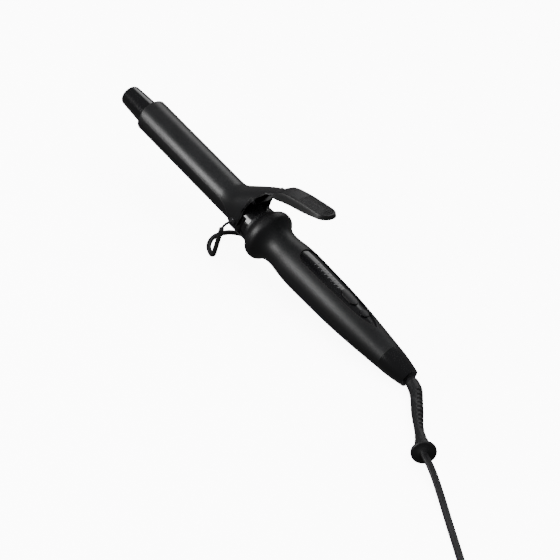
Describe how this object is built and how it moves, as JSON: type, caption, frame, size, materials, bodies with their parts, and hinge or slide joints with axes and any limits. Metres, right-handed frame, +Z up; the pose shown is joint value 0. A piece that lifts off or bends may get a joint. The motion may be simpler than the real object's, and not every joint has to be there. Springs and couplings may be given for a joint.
{
  "type": "curling iron",
  "caption": "Hair curling iron with a sprung clamp on a round barrel, a wire stand, a long handle with inset controls and a swivelling mains lead with plug.",
  "frame": {"origin": "on the table, under the middle of the iron's own box, as it lies leaned back on its stand and the end of its handle; the loose cord is left out of that box", "axes": "+X along the iron from its cool tip to its cord end, +Y to the far side, +Z up with the clamp lever on top"},
  "size_m": [0.5822, 0.1598, 0.0852],
  "materials": {
    "barrel_coating": "satin ceramic-style coating",
    "clamp_metal": "satin",
    "gloss_black": "gloss",
    "matte_black": "soft matte",
    "steel": "plain",
    "dark_metal": "satin black",
    "cord_rubber": "matte",
    "heater_metal": "mill",
    "heater_ceramic": "matte",
    "insulation": "matte",
    "copper": "plain",
    "plated": "bright",
    "sensor_glass": "gloss",
    "inner_plastic": "matte",
    "board": "satin",
    "component": "gloss"
  },
  "bodies": {
    "iron": {"barrel_core": "insulation", "barrel_tube": "barrel_coating", "brush_holder": "inner_plastic", "brushes": "copper", "capacitor": "component", "circuit_board": "board", "clamp_spring": "steel", "collar": "gloss_black", "control_panel": "gloss_black", "cool_tip": "gloss_black", "electrode_lower": "copper", "electrode_upper": "copper", "end_cap": "gloss_black", "frame_lower": "inner_plastic", "frame_screws": "steel", "frame_upper": "inner_plastic", "handle_grip": "matte_black", "heat_sink": "heater_metal", "heater_block_lower": "heater_metal", "heater_block_upper": "heater_metal", "heater_leads": "copper", "heater_plates": "heater_ceramic", "heater_wrap": "insulation", "indicator_lights": "sensor_glass", "pivot_bush_far": "dark_metal", "pivot_bush_near": "dark_metal", "push_switches": "component", "spring_screw": "steel", "temperature_sensor": "sensor_glass", "terminal_block": "inner_plastic", "thermal_fuse": "inner_plastic", "tip_anchor": "insulation", "tip_ring": "gloss_black", "triac": "component"},
    "clamp_lever": {"clamp": "clamp_metal", "lever_pad": "matte_black"},
    "stand": {"stand_wire": "dark_metal", "stand_sleeve": "cord_rubber"},
    "power_key": {"power_button": "matte_black"},
    "temperature_key": {"temp_rocker": "matte_black"},
    "lead": {"swivel_ball": "matte_black", "slip_rings": "copper", "strain_relief": "cord_rubber", "cord": "cord_rubber", "cord_coil": "cord_rubber", "cord_tie": "cord_rubber", "cord_tail": "cord_rubber", "plug_body": "matte_black", "plug_pins": "plated", "pin_covers": "cord_rubber"}
  },
  "joints": [
    {"name": "clamp_hinge", "type": "hinge", "parent": "iron", "child": "clamp_lever", "pos_m": [-0.01768, 0, 0.03523], "axis": [0, 1, 0], "range_deg": [0, 25], "stiffness_Nm_per_rad": 0.35, "springref_deg": -34.38, "deforming": ["clamp_spring"]},
    {"name": "stand_hinge", "type": "hinge", "parent": "iron", "child": "stand", "pos_m": [-0.01768, 0, 0.03523], "axis": [0, -1, 0], "range_deg": [0, 90]},
    {"name": "power_press", "type": "slide", "parent": "iron", "child": "power_key", "axis": [-0.1627, 0, -0.9867], "range_m": [0, 0.0006], "stiffness_N_per_m": 2000, "springref_m": -0.0003},
    {"name": "rocker_tilt", "type": "hinge", "parent": "iron", "child": "temperature_key", "pos_m": [0.09125, 0, 0.02893], "axis": [0, 1, 0], "range_deg": [-3, 3], "stiffness_Nm_per_rad": 0.2},
    {"name": "cord_swivel", "type": "hinge", "parent": "iron", "child": "lead", "pos_m": [0.15671, 0, 0.008], "axis": [0.9867, 0, -0.1627], "continuous": true}
  ]
}
